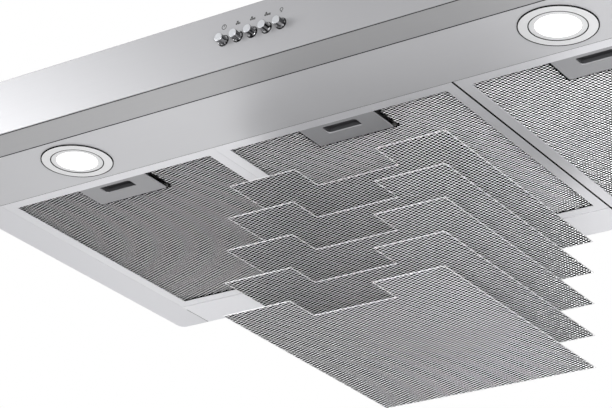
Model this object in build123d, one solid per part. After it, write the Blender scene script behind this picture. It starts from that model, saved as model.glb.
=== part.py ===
from build123d import *
import math
import os

# Chimney range hood for a 90 cm cooking zone, hung on a wall.
# Millimetres. X runs to the right, Y into the wall and Z up.
# The origin is the middle of the canopy's rear face, on the wall plane.

# Canopy
hood_width = 898.0
hood_depth = 500.0
canopy_height = 60.0
steel = 1.0                    # folded stainless sheet
rear_corner_radius = 8.0
side_flange = 38.5             # underside flange folded in from each side wall
side_lip = 15.0                # top and rear edges of a side panel, butted to the top plate
front_strip_depth = 39.6       # folded lip behind the fascia
light_panel_depth = 89.8
rear_strip_depth = 50.0
upturn = 8.0                   # height of the turned-up edges round the underside
seam = 0.8                     # open joint between fascia, front strip and light panel
end_gap = 0.2                  # sheet ends against the side flanges
fascia_return = 15.0           # fascia edges folded back under the top and over the strip
fascia_edge_radius = 0.7
inlet_width = 190.0            # air opening in the top plate
inlet_rear = 95.0              # air opening's rear edge, behind the wheel axis

# Filter cassettes
cassette_count = 3
cassette_gap = 0.3
wide_gap = 2.0                 # slack of the row, left between the middle and right cassettes
cassette_front_gap = 0.25
cassette_rear_gap = 0.3
frame_side_bar = 12.1          # widths of the frame's lips
frame_front_bar = 12.8
frame_rear_bar = 12.3
frame_height = 10.0
frame_wall = 0.8               # folded aluminium channel
hinge_edge_radius = 1.5        # rounded rear edge that the cassette swings on
hook_width = 20.0
hook_reach = 8.0
hook_thickness = 1.5
hook_offset = 80.0             # from the cassette's middle
hook_height = 1.3              # underside of the hook above the underside of the hood
hook_notch_play = 2.0

# Mesh
mesh_thickness = 0.5
mesh_recess = 2.8
mesh_clearance = 0.3           # round the mesh inside the channel
mesh_notch_width = 91.4
mesh_notch_depth = 41.5        # behind the window's front edge
stack_play = 0.05              # between stacked layers
pack_layers = 5                # layers kept above the lowest one
loose_layers = 5
loose_drop = 40.0              # highest loose layer, below the underside
loose_pitch = 34.2
loose_clearance_x = 1.7
loose_clearance_y = 0.5

# Finger pull and latch
plate_width = 83.8
plate_depth = 37.9
plate_thickness = 1.5
slot_width = 39.0
slot_front = 4.6               # behind the window's front edge
slot_rear = 19.0
slot_radius = 3.0
cup_wall = 1.2
cup_ceiling = 1.0
cup_height = 9.2
lug_width = 16.0               # lugs of the plate that lie on the frame's front lip
lug_inner = 24.0
lug_reach = 9.0
lug_overlap = 3.0
lug_top = 2.6
latch_play = 0.3
latch_bar = 2.5
latch_arm = 2.0
latch_low = 1.8
latch_high = 5.6
latch_cross_front = 6.0        # ahead of the window's front edge
tongue_width = 12.0
tongue_reach = 5.0
tongue_low = 1.6
tongue_high = 3.4
tongue_play = 0.4
latch_travel = 5.5
spring_room = 7.2              # for the leaf, behind a latch drawn right back
leaf_thickness = 0.5
leaf_height = 3.0
leaf_half_span = 13.0

# Lamps
lamp_inset = 139.3             # lamp axis from the end of the light panel
bezel_radius = 35.6
bezel_proud = 1.0
bezel_edge_radius = 0.4
groove_outer = 26.7
groove_inner = 26.1
lens_radius = 20.6
lens_play = 0.1
ring_low = 0.7                 # inner ring's face, proud of the panel
lens_low = 0.5
panel_hole_radius = 30.0
neck_outer = 29.5
neck_inner = 27.9
neck_height = 6.0
can_radius = 27.5
can_low = 0.5                  # can's face above the underside
can_height = 18.0
can_fin_gap = 2.0
can_fins = 4
clip_width = 8.0
clip_thickness = 0.6
clip_reach = 16.0
clip_rise = 12.0

# Push buttons
button_count = 5
button_pitch = 16.1
button_rise = 29.3             # button axis above the underside
cap_radius = 4.2
cap_proud = 8.8
cap_edge_radius = 0.4
cap_inner = 9.0                # cap's length behind the fascia's outer face
button_fit = 0.05              # radial running clearance
base_radius = 5.3
base_proud = 2.0
base_edge_radius = 0.5
base_neck_radius = 4.9
base_neck = 3.0
base_hole_play = 0.15
stem_radius = 2.0
stem_length = 13.0
button_travel = 3.5
button_spare = 1.0             # room left behind a pressed cap
switch_end = 8.0               # block beyond the outer buttons
switch_depth = 16.0
switch_height = 22.0
ear_width = 10.0
ear_thickness = 3.0
stud_radius = 2.0
stud_play = 0.2
stud_spare = 1.5
nut_radius = 3.8
nut_thickness = 3.0

# Chimney
chimney_width = 270.0
chimney_depth = 260.0
chimney_sheet = 1.0
lower_height = 420.0
upper_height = 460.0
telescope_gap = 0.8            # between the two covers
rear_play = 0.3
rear_return = 15.0
foot_flange = 12.0
louvre_count = 6
louvre_width = 4.0
louvre_height = 60.0
louvre_pitch = 20.0
louvre_below_top = 30.0
bracket_thickness = 1.5
bracket_reach = 30.0
bracket_height = 18.0
bracket_below_top = 3.0
bracket_hole_spacing = 180.0
bracket_hole_radius = 2.5

# Support frame on the wall
support_sheet = 1.5
support_back = 2.0
support_width = 232.0
support_back_width = 200.0
support_back_height = 270.0
support_front_gap = 0.5
wall_hole_spacing_x = 160.0
wall_hole_spacing_z = 200.0
wall_hole_low = 50.0           # lower pair above the canopy's top
wall_hole_radius = 4.0

# Blower
wheel_rise = 118.0             # wheel axis above the canopy's top
scroll_step = 10.0             # growth of the scroll from one quarter to the next
scroll_radius = 82.0
scroll_half_width = 65.0
scroll_wall = 2.0
inlet_ring_radius = 56.0
outlet_rise = 88.0             # underside of the outlet box above the wheel axis
plenum_half_width = 80.0
plenum_front = 85.0            # ahead of the wheel axis
plenum_rear = 110.0
plenum_height = 37.0
leg_half_width = 30.0
leg_thickness = 12.0
foot_depth = 17.0
foot_thickness = 3.0
leg_rear = 110.0               # rear leg's outer face, from the wheel axis
blower_front_gap = 18.0        # feet to the chimney's front face
blower_rear_gap = 1.0          # feet to the support frame's back plate
wheel_radius = 65.0
wheel_ring_inner = 54.0
blade_inner = 55.0
blade_outer = 63.5
blade_thickness = 1.2
blade_angle = 35.0
blade_count = 36
wheel_half_width = 52.0
wheel_ring = 2.5
wheel_disc = 2.0
hub_radius = 9.0
hub_length = 14.0
shaft_radius = 4.0
shaft_fit = 0.06
shaft_start = -50.0
motor_radius = 42.0
motor_outer_end = -58.0
motor_inner_end = -5.0
motor_edge_radius = 5.0
motor_plate = 2.0
motor_hub_radius = 30.0
motor_ring_inner = 57.0
motor_ring_outer = 63.0
motor_arms = 3
motor_arm_width = 10.0

# Outlet collar and flaps
duct_radius = 75.0
collar_wall = 2.0
collar_plate = 3.0
collar_half_plate = 80.0
collar_height = 60.0
flap_rise = 20.0               # flap pin above the collar's plate
flap_play = 0.8
flap_thickness = 1.5
flap_pin_radius = 2.0
flap_pin_fit = 0.06
knuckle_radius = 3.4
flap_inner = 4.2
knuckle_inner = 25.0
knuckle_outer = 55.0
knuckle_gap = 3.0
flap_stop_play = 0.1
flap_stop_width = 12.0
flap_stop_depth = 4.0
flap_stop_height = 2.0

# Electrics
terminal_x = 210.0
terminal_y = -110.0
terminal_length = 120.0
terminal_width = 80.0
terminal_height = 26.0
terminal_wall = 2.0
terminal_lid = 2.0
gland_x = 106.0
gland_y = -60.0
gland_bore = 4.5
gland_radius = 8.0
gland_play = 0.2
gland_flange_radius = 11.0
gland_flange = 4.0
gland_nut = 4.0
gland_nut_radius = 11.0
gland_tail = 12.0

# Fixing screws
screw_radius = 1.9
screw_play = 0.2
screw_head_radius = 3.6
screw_head = 2.2
screw_length = 6.0
foot_screw_length = 9.0
flange_screw_inset = 60.0

# Levels and positions that follow from the sizes above
front = -hood_depth
top = canopy_height / 2
under = -canopy_height / 2
half_width = hood_width / 2
opening_half = half_width - side_flange
strip_rear = front + front_strip_depth
panel_rear = strip_rear + light_panel_depth
rear_strip_front = -rear_strip_depth
cassette_front = panel_rear + cassette_front_gap
cassette_back = rear_strip_front - cassette_rear_gap
cassette_width = (2 * opening_half - 3 * cassette_gap - wide_gap) / cassette_count
window_front = cassette_front + frame_front_bar
window_back = cassette_back - frame_rear_bar
window_half = cassette_width / 2 - frame_side_bar
cup_rear = slot_rear + latch_bar + latch_travel + spring_room + cup_wall
button_z = under + button_rise
lamp_offset = opening_half - lamp_inset
wheel_centre_y = -support_back - blower_rear_gap - foot_depth - leg_rear
leg_front = chimney_depth - blower_front_gap - foot_depth + wheel_centre_y
scroll_front = scroll_radius + scroll_step / 2 - 2 * scroll_wall
leg_root = min(scroll_front, leg_front - leg_thickness)
inlet_front = wheel_centre_y - leg_front
inlet_back = wheel_centre_y + inlet_rear
wheel_z = top + wheel_rise
plenum_low = wheel_z + outlet_rise
plenum_high = plenum_low + plenum_height
collar_top = plenum_high + collar_plate + collar_height
flap_z = plenum_high + collar_plate + flap_rise
foot_low = top + support_sheet
switch_front = front + cap_inner + button_travel + button_spare
chimney_half = chimney_width / 2
sleeve_half = chimney_half - chimney_sheet - telescope_gap
sleeve_front = -chimney_depth + chimney_sheet + telescope_gap
sleeve_rear = -chimney_sheet - rear_play
sleeve_low = top + chimney_sheet
sleeve_high = sleeve_low + upper_height
flange_screw_x = chimney_half - chimney_sheet - foot_flange / 2 - 2 * screw_play
sides = {"left": -1, "right": 1}


def cassette_middles():
    left = -opening_half + cassette_gap + cassette_width / 2
    middle = left + cassette_width + cassette_gap
    right = middle + cassette_width + wide_gap
    return {"left": left, "middle": middle, "right": right}


def block(x0, x1, y0, y1, z0, z1):
    centre = Pos((x0 + x1) / 2, (y0 + y1) / 2, (z0 + z1) / 2)
    return centre * Box(x1 - x0, y1 - y0, z1 - z0)


def rod_x(x0, x1, y, z, radius):
    return Pos((x0 + x1) / 2, y, z) * Rot(0, 90, 0) * Cylinder(radius, x1 - x0)


def rod_y(x, y0, y1, z, radius):
    return Pos(x, (y0 + y1) / 2, z) * Rot(90, 0, 0) * Cylinder(radius, y1 - y0)


def rod_z(x, y, z0, z1, radius):
    return Pos(x, y, (z0 + z1) / 2) * Cylinder(radius, z1 - z0)


def edges_along(shape, axis, test):
    return [e for e in shape.edges().filter_by(axis) if test(e.center())]


# Canopy


def canopy_shell():
    skin_front = front + steel
    outer = block(-half_width, half_width, skin_front, 0, under, top)
    outer = fillet(edges_along(outer, Axis.Z, lambda c: c.Y > skin_front + 1), rear_corner_radius)
    inner = block(-half_width + steel, half_width - steel, skin_front, -steel, under + steel, top - steel)
    inner = fillet(edges_along(inner, Axis.Z, lambda c: c.Y > skin_front + 1), rear_corner_radius - steel)
    body = outer - inner
    body -= block(-opening_half, opening_half, skin_front, 0, under, under + steel)
    for side in sides.values():
        near = side * opening_half
        far = side * (opening_half + steel)
        body += block(min(near, far), max(near, far), skin_front, -steel, under, under + upturn)
    body -= block(-inlet_width / 2, inlet_width / 2, inlet_front, inlet_back, top - steel, top)
    body -= rod_z(gland_x, gland_y, top - steel, top, gland_radius + gland_play)
    for x, y in flange_screw_places() + foot_screw_places():
        body -= rod_z(x, y, top - steel, top, screw_radius + screw_play)
    return body


def side_space(side):
    lip = side * (half_width - side_lip)
    wall = side * half_width
    space = block(min(lip, wall), max(lip, wall), front, 0, under, top)
    inner = side * opening_half
    flange = block(min(inner, lip), max(inner, lip), front, -steel, under, under + upturn)
    return space + flange


def canopy_top():
    shell = canopy_shell()
    for side in sides.values():
        shell -= side_space(side)
    return shell


def side_panel(side):
    return canopy_shell() & side_space(side)


def button_places():
    middle = (button_count - 1) / 2
    return [(i - middle) * button_pitch for i in range(button_count)]


def switch_half():
    return max(button_places()) + switch_end


def front_fascia():
    plate = block(-half_width, half_width, front, front + steel, under, top)
    plate = fillet(edges_along(plate, Axis.X, lambda c: c.Y < front + steel / 2), fascia_edge_radius)
    upper_end = half_width - steel - end_gap
    lower_end = opening_half - end_gap
    back = front + steel + fascia_return
    plate += block(-upper_end, upper_end, front + steel, back, top - 2 * steel, top - steel)
    plate += block(-lower_end, lower_end, front + steel, back, under + steel, under + 2 * steel)
    for x in button_places():
        hole = base_neck_radius + base_hole_play
        plate -= rod_y(x, front, front + steel, button_z, hole)
    for side in sides.values():
        x = side * (switch_half() + ear_width / 2)
        stud_end = front + steel + ear_thickness + nut_thickness + stud_spare
        plate += rod_y(x, front + steel, stud_end, button_z, stud_radius)
    return plate


def front_strip():
    end = opening_half - end_gap
    strip_front = front + steel + seam
    back = strip_rear - seam / 2
    strip = block(-end, end, strip_front, back, under, under + steel)
    strip += block(-end, end, back - steel, back, under, under + upturn)
    return strip


def light_panel():
    end = opening_half - end_gap
    panel_front = strip_rear + seam / 2
    back = panel_rear - cassette_front_gap
    panel = block(-end, end, panel_front, back, under, under + steel)
    panel += block(-end, end, panel_front, panel_front + steel, under, under + upturn)
    panel += block(-end, end, back - steel, back, under, under + upturn)
    for x in cassette_middles().values():
        half = tongue_width / 2 + hook_notch_play
        panel -= block(x - half, x + half, back - steel, back, under + steel, under + upturn)
    for side in sides.values():
        x = side * lamp_offset
        panel -= rod_z(x, lamp_y(), under, under + steel, panel_hole_radius)
    return panel


def rear_strip():
    end = opening_half - end_gap
    strip = block(-end, end, rear_strip_front, 0, under, under + steel)
    strip += block(-end, end, rear_strip_front, rear_strip_front + steel, under, under + upturn)
    for middle in cassette_middles().values():
        for side in sides.values():
            x = middle + side * hook_offset
            half = hook_width / 2 + hook_notch_play
            strip -= block(x - half, x + half, rear_strip_front, rear_strip_front + steel,
                           under + steel, under + upturn)
    return strip


# Lamps


def lamp_y():
    return (strip_rear + panel_rear) / 2


def lamp_bezel(x):
    y = lamp_y()
    flange = rod_z(x, y, under - bezel_proud, under, bezel_radius)
    rim = flange.faces().sort_by(Axis.Z)[0].edges()
    flange = fillet(rim, bezel_edge_radius)
    bezel = flange + rod_z(x, y, under, under + neck_height, neck_outer)
    bezel -= rod_z(x, y, under - bezel_proud, under, groove_outer)
    bezel -= rod_z(x, y, under, under + neck_height, neck_inner)
    return bezel


def lamp_ring(x):
    y = lamp_y()
    ring = rod_z(x, y, under - ring_low, under + can_low, groove_inner)
    return ring - rod_z(x, y, under - ring_low, under + can_low, lens_radius + lens_play)


def lamp_lens(x):
    lens = rod_z(x, lamp_y(), under - lens_low, under + can_low, lens_radius)
    rim = lens.faces().sort_by(Axis.Z)[0].edges()
    return fillet(rim, lens_play * 2)


def lamp_can(x):
    y = lamp_y()
    low = under + can_low
    high = low + can_height
    can = rod_z(x, y, low, high, can_radius)
    first = under + neck_height + can_fin_gap
    for i in range(can_fins):
        z = first + 1.5 * can_fin_gap * i
        ring = rod_z(x, y, z, z + can_fin_gap / 2, can_radius + 1)
        can -= ring - rod_z(x, y, z, z + can_fin_gap / 2, can_radius - can_fin_gap)
    return can


def lamp_clips():
    clips = []
    sheet_top = under + steel
    start = can_radius + lens_play
    for lamp in sides.values():
        for side in sides.values():
            points = [
                (start, sheet_top + clip_rise),
                (start, sheet_top + clip_rise - clip_thickness),
                (start + clip_reach / 2, sheet_top + clip_rise / 2 - clip_thickness),
                (start + clip_reach, sheet_top),
                (start + clip_reach + clip_thickness, sheet_top),
                (start + clip_reach / 2 + clip_thickness, sheet_top + clip_rise / 2),
                (start + clip_thickness, sheet_top + clip_rise),
            ]
            outline = make_face(Polyline(*[(side * x, z) for x, z in points], close=True))
            clip = extrude(Plane.XZ * outline, clip_width / 2, both=True)
            clips.append(Pos(lamp * lamp_offset, lamp_y(), 0) * clip)
    return clips


# Push buttons


def button_rings():
    rings = []
    for x in button_places():
        base = rod_y(x, front - base_proud, front, button_z, base_radius)
        rim = base.faces().sort_by(Axis.Y)[0].edges()
        base = fillet(rim, base_edge_radius)
        base += rod_y(x, front, front + base_neck, button_z, base_neck_radius)
        bore = cap_radius + button_fit
        rings.append(base - rod_y(x, front - base_proud, front + base_neck, button_z, bore))
    return rings


def button(x):
    cap = rod_y(x, front - cap_proud, front + cap_inner, button_z, cap_radius)
    rim = cap.faces().sort_by(Axis.Y)[0].edges()
    cap = fillet(rim, cap_edge_radius)
    return cap + rod_y(x, front + cap_inner, front + cap_inner + stem_length, button_z, stem_radius)


def switch_block():
    half = switch_half()
    low = button_z - switch_height / 2
    high = button_z + switch_height / 2
    back = switch_front + switch_depth
    body = block(-half, half, switch_front, back, low, high)
    pocket = stem_radius + button_fit
    for x in button_places():
        stem_end = front + cap_inner + stem_length + button_travel + button_spare
        body -= rod_y(x, switch_front, stem_end, button_z, pocket)
    for side in sides.values():
        near = side * half
        far = side * (half + ear_width)
        foot = block(min(near, far), max(near, far), front + steel, front + steel + ear_thickness, low, high)
        arm_near = side * (half - ear_thickness)
        arm = block(min(near, arm_near), max(near, arm_near), front + steel, switch_front, low, high)
        x = side * (half + ear_width / 2)
        hole = rod_y(x, front + steel, front + steel + ear_thickness, button_z, stud_radius + stud_play)
        body += foot + arm
        body -= hole
    return body


# Filter cassettes


def cassette_outline(z0, z1, middle, inset):
    half = cassette_width / 2 - inset
    return block(middle - half, middle + half, cassette_front + inset, cassette_back - inset, z0, z1)


def filter_frame(middle):
    high = under + frame_height
    frame = cassette_outline(under, high, middle, 0)
    rear_edge = edges_along(frame, Axis.X, lambda c: c.Y > cassette_back - 1 and c.Z < under + 1)
    frame = fillet(rear_edge, hinge_edge_radius)
    frame -= cassette_outline(under + frame_wall, high - frame_wall, middle, frame_wall)
    frame -= block(middle - window_half, middle + window_half, window_front, window_back, under, high)
    half = tongue_width / 2 + tongue_play
    frame -= block(middle - half, middle + half, cassette_front, cassette_front + frame_wall,
                   under + tongue_low - tongue_play, under + tongue_high + tongue_play)
    for side in sides.values():
        x = middle + side * hook_offset
        low = under + hook_height
        frame += block(x - hook_width / 2, x + hook_width / 2, cassette_back - frame_wall,
                       cassette_back + hook_reach, low, low + hook_thickness)
    return frame


def mesh_notch(middle, z0, z1, start):
    half = mesh_notch_width / 2
    return block(middle - half, middle + half, start, window_front + mesh_notch_depth, z0, z1)


def filter_mesh(middle):
    lowest = under + mesh_recess
    highest = under + frame_height - frame_wall - stack_play - mesh_thickness
    sheets = []
    for i in range(pack_layers + 1):
        low = lowest + (highest - lowest) / pack_layers * i
        high = low + mesh_thickness
        sheet = cassette_outline(low, high, middle, frame_wall + mesh_clearance)
        sheets.append(sheet - mesh_notch(middle, low, high, cassette_front))
    return sheets


def mesh_layer(index):
    middle = cassette_middles()["middle"]
    half = window_half - loose_clearance_x
    low = under - loose_drop - loose_pitch * index
    high = low + mesh_thickness
    start = window_front + loose_clearance_y
    sheet = block(middle - half, middle + half, start, window_back - loose_clearance_y, low, high)
    return sheet - mesh_notch(middle, low, high, start)


def filter_handle(middle):
    plate_top = under + plate_thickness
    half = plate_width / 2
    handle = block(middle - half, middle + half, window_front, window_front + plate_depth, under, plate_top)
    cup_inner = slot_width / 2 + 2 * latch_play + 0.5
    cup_outer = cup_inner + cup_wall
    cup_back = window_front + cup_rear
    cup_top = under + cup_height
    handle += block(middle - cup_outer, middle + cup_outer, window_front, cup_back, plate_top, cup_top)
    handle -= block(middle - cup_inner, middle + cup_inner, window_front, cup_back - cup_wall,
                    plate_top, cup_top - cup_ceiling)
    slot = RectangleRounded(slot_width, slot_rear - slot_front, slot_radius)
    slot_y = window_front + (slot_front + slot_rear) / 2
    handle -= Pos(middle, slot_y, under) * extrude(slot, plate_thickness)
    for side in sides.values():
        near = middle + side * lug_inner
        far = middle + side * (lug_inner + lug_width)
        handle += block(min(near, far), max(near, far), window_front - lug_reach,
                        window_front + lug_overlap, under + frame_wall, under + lug_top)
    return handle


def latch_half():
    return slot_width / 2 + latch_play + 0.5


def filter_latch(middle):
    half = latch_half()
    low = under + latch_low
    high = under + latch_high
    bar_front = window_front + slot_rear
    cross = window_front - latch_cross_front
    latch = block(middle - half, middle + half, cross, bar_front + latch_bar, low, high)
    opening = half - latch_arm
    latch -= block(middle - opening, middle + opening, cross + latch_bar, bar_front, low, high)
    top_edge = edges_along(latch, Axis.X, lambda c: abs(c.Y - bar_front) < 0.01 and c.Z > high - 0.01)
    latch = fillet(top_edge, latch_arm / 4)
    tongue = block(middle - tongue_width / 2, middle + tongue_width / 2, cassette_front - tongue_reach,
                   cross + latch_bar, under + tongue_low, under + tongue_high)
    return latch + tongue


def latch_spring(middle):
    bar_back = window_front + slot_rear + latch_bar
    wall = window_front + cup_rear - cup_wall
    span = leaf_half_span
    bow = ThreePointArc((-span, wall), (0, bar_back + leaf_thickness), (span, wall))
    face = make_face([
        bow,
        Line((span, wall), (span - leaf_thickness, wall)),
        ThreePointArc((span - leaf_thickness, wall), (0, bar_back + 2 * leaf_thickness),
                      (-span + leaf_thickness, wall)),
        Line((-span + leaf_thickness, wall), (-span, wall)),
    ])
    low = under + (latch_low + latch_high - leaf_height) / 2
    return Pos(middle, 0, low) * extrude(face, leaf_height)


# Chimney


def cover(half, y_front, y_rear, z0, z1):
    shell = block(-half, half, y_front, y_rear, z0, z1)
    inner = half - chimney_sheet
    shell -= block(-inner, inner, y_front + chimney_sheet, y_rear - chimney_sheet, z0, z1)
    gap = inner - rear_return
    return shell - block(-gap, gap, y_rear - chimney_sheet, y_rear, z0, z1)


def flange_screw_places():
    near = -flange_screw_inset
    far = -chimney_depth + flange_screw_inset
    return [(side * flange_screw_x, y) for side in sides.values() for y in (near, far)]


def chimney_lower():
    shell = cover(chimney_half, -chimney_depth, 0, top, top + lower_height)
    inner = chimney_half - chimney_sheet
    flange = block(-inner, inner, -chimney_depth + chimney_sheet, -chimney_sheet, top, top + chimney_sheet)
    clear = inner - foot_flange
    flange -= block(-clear, clear, -chimney_depth + chimney_sheet + foot_flange, 0, top, top + chimney_sheet)
    for x, y in flange_screw_places():
        flange -= rod_z(x, y, top, top + chimney_sheet, screw_radius + screw_play)
    return shell + flange


def chimney_upper():
    shell = cover(sleeve_half, sleeve_front, sleeve_rear, sleeve_low, sleeve_high)
    high = sleeve_high - louvre_below_top
    first = (sleeve_front + sleeve_rear) / 2 - louvre_pitch * (louvre_count - 1) / 2
    for i in range(louvre_count):
        y = first + louvre_pitch * i
        shell -= block(-sleeve_half, sleeve_half, y - louvre_width / 2, y + louvre_width / 2,
                       high - louvre_height, high)
    return shell


def chimney_bracket():
    half = sleeve_half - chimney_sheet
    high = sleeve_high - bracket_below_top
    low = high - bracket_height
    back = sleeve_rear - chimney_sheet
    bracket = block(-half, half, back - bracket_reach, back, low, high)
    inner = half - bracket_thickness
    bracket -= block(-inner, inner, back - bracket_reach, back - bracket_thickness, low, high)
    for side in sides.values():
        x = side * bracket_hole_spacing / 2
        bracket -= rod_y(x, back - bracket_thickness, back, (low + high) / 2, bracket_hole_radius)
    return bracket


def foot_screw_places():
    front_y = wheel_centre_y - leg_front - foot_depth / 2
    rear_y = wheel_centre_y + leg_rear + foot_depth / 2
    x = leg_half_width * 2 / 3
    return [(side * x, y) for side in sides.values() for y in (front_y, rear_y)]


def support_frame():
    half = support_width / 2
    front_edge = -chimney_depth + chimney_sheet + foot_flange + support_front_gap
    frame = block(-half, half, front_edge, -support_back, top, foot_low)
    frame -= block(-inlet_width / 2, inlet_width / 2, inlet_front, inlet_back, top, foot_low)
    back_half = support_back_width / 2
    frame += block(-back_half, back_half, -support_back, 0, top, top + support_back_height)
    for side in sides.values():
        for z in (top + wall_hole_low, top + wall_hole_low + wall_hole_spacing_z):
            x = side * wall_hole_spacing_x / 2
            frame -= rod_y(x, -support_back, 0, z, wall_hole_radius)
    frame -= rod_z(gland_x, gland_y, top, foot_low, gland_radius + gland_play)
    for x, y in foot_screw_places():
        frame -= rod_z(x, y, top, foot_low, screw_radius + screw_play)
    return frame


# Blower


def scroll_outline(shrink, high):
    half_step = scroll_step / 2
    r1 = scroll_radius - shrink
    r2 = r1 + scroll_step
    r3 = r2 + scroll_step
    start = (-half_step, -half_step + r1)
    end = (half_step + r3, half_step)
    inner_wall = -half_step + shrink
    outline = [
        CenterArc((-half_step, -half_step), r1, 90, 90),
        CenterArc((half_step, -half_step), r2, 180, 90),
        CenterArc((half_step, half_step), r3, 270, 90),
        Line(end, (end[0], high)),
        Line((end[0], high), (inner_wall, high)),
        Line((inner_wall, high), (inner_wall, start[1])),
    ]
    if shrink > 0:
        outline.append(Line((inner_wall, start[1]), start))
    return make_face(outline)


def scroll_solid(shrink, half, high):
    face = Plane.YZ * scroll_outline(shrink, high)
    return Pos(0, wheel_centre_y, wheel_z) * extrude(face, half, both=True)


def blower_housing():
    shell = scroll_solid(0, scroll_half_width, outlet_rise)
    y0 = wheel_centre_y - plenum_front
    y1 = wheel_centre_y + plenum_rear
    shell += block(-plenum_half_width, plenum_half_width, y0, y1, plenum_low, plenum_high)
    legs = ((leg_root, leg_front, -1), (leg_rear - leg_thickness, leg_rear, 1))
    for root, reach, outward in legs:
        y = wheel_centre_y + outward * reach
        heel = wheel_centre_y + outward * root
        toe = y + outward * foot_depth
        shell += block(-leg_half_width, leg_half_width, min(y, heel), max(y, heel), foot_low, wheel_z)
        shell += block(-leg_half_width, leg_half_width, min(heel, toe), max(heel, toe),
                       foot_low, foot_low + foot_thickness)
    shell -= scroll_solid(scroll_wall, scroll_half_width - scroll_wall, outlet_rise + scroll_wall)
    shell -= block(-plenum_half_width + scroll_wall, plenum_half_width - scroll_wall, y0 + scroll_wall,
                   y1 - scroll_wall, plenum_low + scroll_wall, plenum_high - scroll_wall)
    shell -= rod_x(-scroll_half_width, scroll_half_width, wheel_centre_y, wheel_z, inlet_ring_radius)
    shell -= rod_z(0, wheel_centre_y, plenum_high - scroll_wall, plenum_high, duct_radius - collar_wall)
    for x, y in foot_screw_places():
        shell -= rod_z(x, y, foot_low, foot_low + foot_thickness, screw_radius + screw_play)
    return shell


def blower_half(side):
    reach = 2 * chimney_depth
    x0 = min(0, side * reach)
    x1 = max(0, side * reach)
    keep = block(x0, x1, -reach, reach, 0, 2 * reach)
    return blower_housing() & keep


def blower_motor():
    y = wheel_centre_y
    can = rod_x(motor_outer_end, motor_inner_end, y, wheel_z, motor_radius)
    can = fillet(can.faces().sort_by(Axis.X)[-1].edges(), motor_edge_radius)
    plate_end = -scroll_half_width - motor_plate
    can += rod_x(plate_end, motor_outer_end, y, wheel_z, motor_hub_radius)
    ring = rod_x(plate_end, -scroll_half_width, y, wheel_z, motor_ring_outer)
    ring -= rod_x(plate_end, -scroll_half_width, y, wheel_z, motor_ring_inner)
    reach = (motor_ring_inner + motor_ring_outer) / 2
    for i in range(motor_arms):
        arm = block(plate_end, -scroll_half_width, -motor_arm_width / 2, motor_arm_width / 2, 0, reach)
        ring += Pos(0, y, wheel_z) * Rot(360 / motor_arms * i, 0, 0) * arm
    can += ring
    return can - rod_x(shaft_start - 1, motor_inner_end, y, wheel_z, shaft_radius + shaft_fit)


def motor_shaft():
    return rod_x(shaft_start, wheel_disc + hub_length, wheel_centre_y, wheel_z, shaft_radius)


def on_wheel_axis(shape):
    return Pos(0, wheel_centre_y, wheel_z) * shape


def wheel_blades():
    depth = (blade_outer - blade_inner) / math.cos(math.radians(blade_angle))
    middle = (blade_outer + blade_inner) / 2
    length = 2 * (wheel_half_width - wheel_ring)
    blade = Pos(0, 0, middle) * Rot(blade_angle, 0, 0) * Box(length, blade_thickness, depth)
    return [Rot(360 / blade_count * i, 0, 0) * blade for i in range(blade_count)]


def impeller_blades():
    return [on_wheel_axis(blade) for blade in wheel_blades()]


def impeller_rings():
    rings = []
    for x in (-wheel_half_width, wheel_half_width - wheel_ring):
        ring = rod_x(x, x + wheel_ring, 0, 0, wheel_radius)
        rings.append(on_wheel_axis(ring - rod_x(x, x + wheel_ring, 0, 0, wheel_ring_inner)))
    return rings


def impeller_disc():
    disc = rod_x(0, wheel_disc, 0, 0, (blade_inner + blade_outer) / 2)
    for blade in wheel_blades():
        disc -= blade
    disc += rod_x(0, wheel_disc + hub_length, 0, 0, hub_radius)
    return on_wheel_axis(disc - rod_x(0, wheel_disc + hub_length, 0, 0, shaft_radius))


# Outlet collar and flaps


def outlet_collar():
    y = wheel_centre_y
    base = collar_half_plate
    collar = block(-base, base, y - base, y + base, plenum_high, plenum_high + collar_plate)
    collar += rod_z(0, y, plenum_high, collar_top, duct_radius)
    bore = duct_radius - collar_wall
    collar -= rod_z(0, y, plenum_high, collar_top, bore)
    collar += rod_x(-bore - collar_wall / 2, bore + collar_wall / 2, y, flap_z, flap_pin_radius)
    stop_high = flap_z - flap_thickness / 2 - flap_stop_play
    for side in sides.values():
        outer = y + side * (bore + collar_wall / 2)
        inner = y + side * (bore - flap_stop_depth)
        collar += block(-flap_stop_width / 2, flap_stop_width / 2, min(outer, inner), max(outer, inner),
                        stop_high - flap_stop_height, stop_high)
    return collar


def flap(side, knuckles):
    radius = duct_radius - collar_wall - flap_play
    half = flap_thickness / 2
    plate = rod_z(0, 0, -half, half, radius)
    plate &= block(-radius, radius, min(side * flap_inner, side * radius),
                   max(side * flap_inner, side * radius), -half, half)
    for x0, x1 in knuckles:
        plate += rod_x(x0, x1, 0, 0, knuckle_radius)
        plate += block(x0, x1, min(0, side * (flap_inner + 1)), max(0, side * (flap_inner + 1)), -half, half)
    plate -= rod_x(-radius, radius, 0, 0, flap_pin_radius + flap_pin_fit)
    return Pos(0, wheel_centre_y, flap_z) * plate


def flap_front():
    return flap(-1, [(-knuckle_outer, -knuckle_inner), (knuckle_inner, knuckle_outer)])


def flap_rear():
    reach = knuckle_inner - knuckle_gap
    return flap(1, [(-reach, reach)])


# Electrics


def terminal_box():
    high = top - steel
    low = high - terminal_height
    x0 = terminal_x - terminal_length / 2
    x1 = terminal_x + terminal_length / 2
    y0 = terminal_y - terminal_width / 2
    y1 = terminal_y + terminal_width / 2
    wall = terminal_wall
    box = block(x0, x1, y0, y1, low, high)
    box -= block(x0 + wall, x1 - wall, y0 + wall, y1 - wall, low, high - wall)
    lid = block(x0, x1, y0, y1, low - terminal_lid, low)
    return [box, lid]


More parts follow.
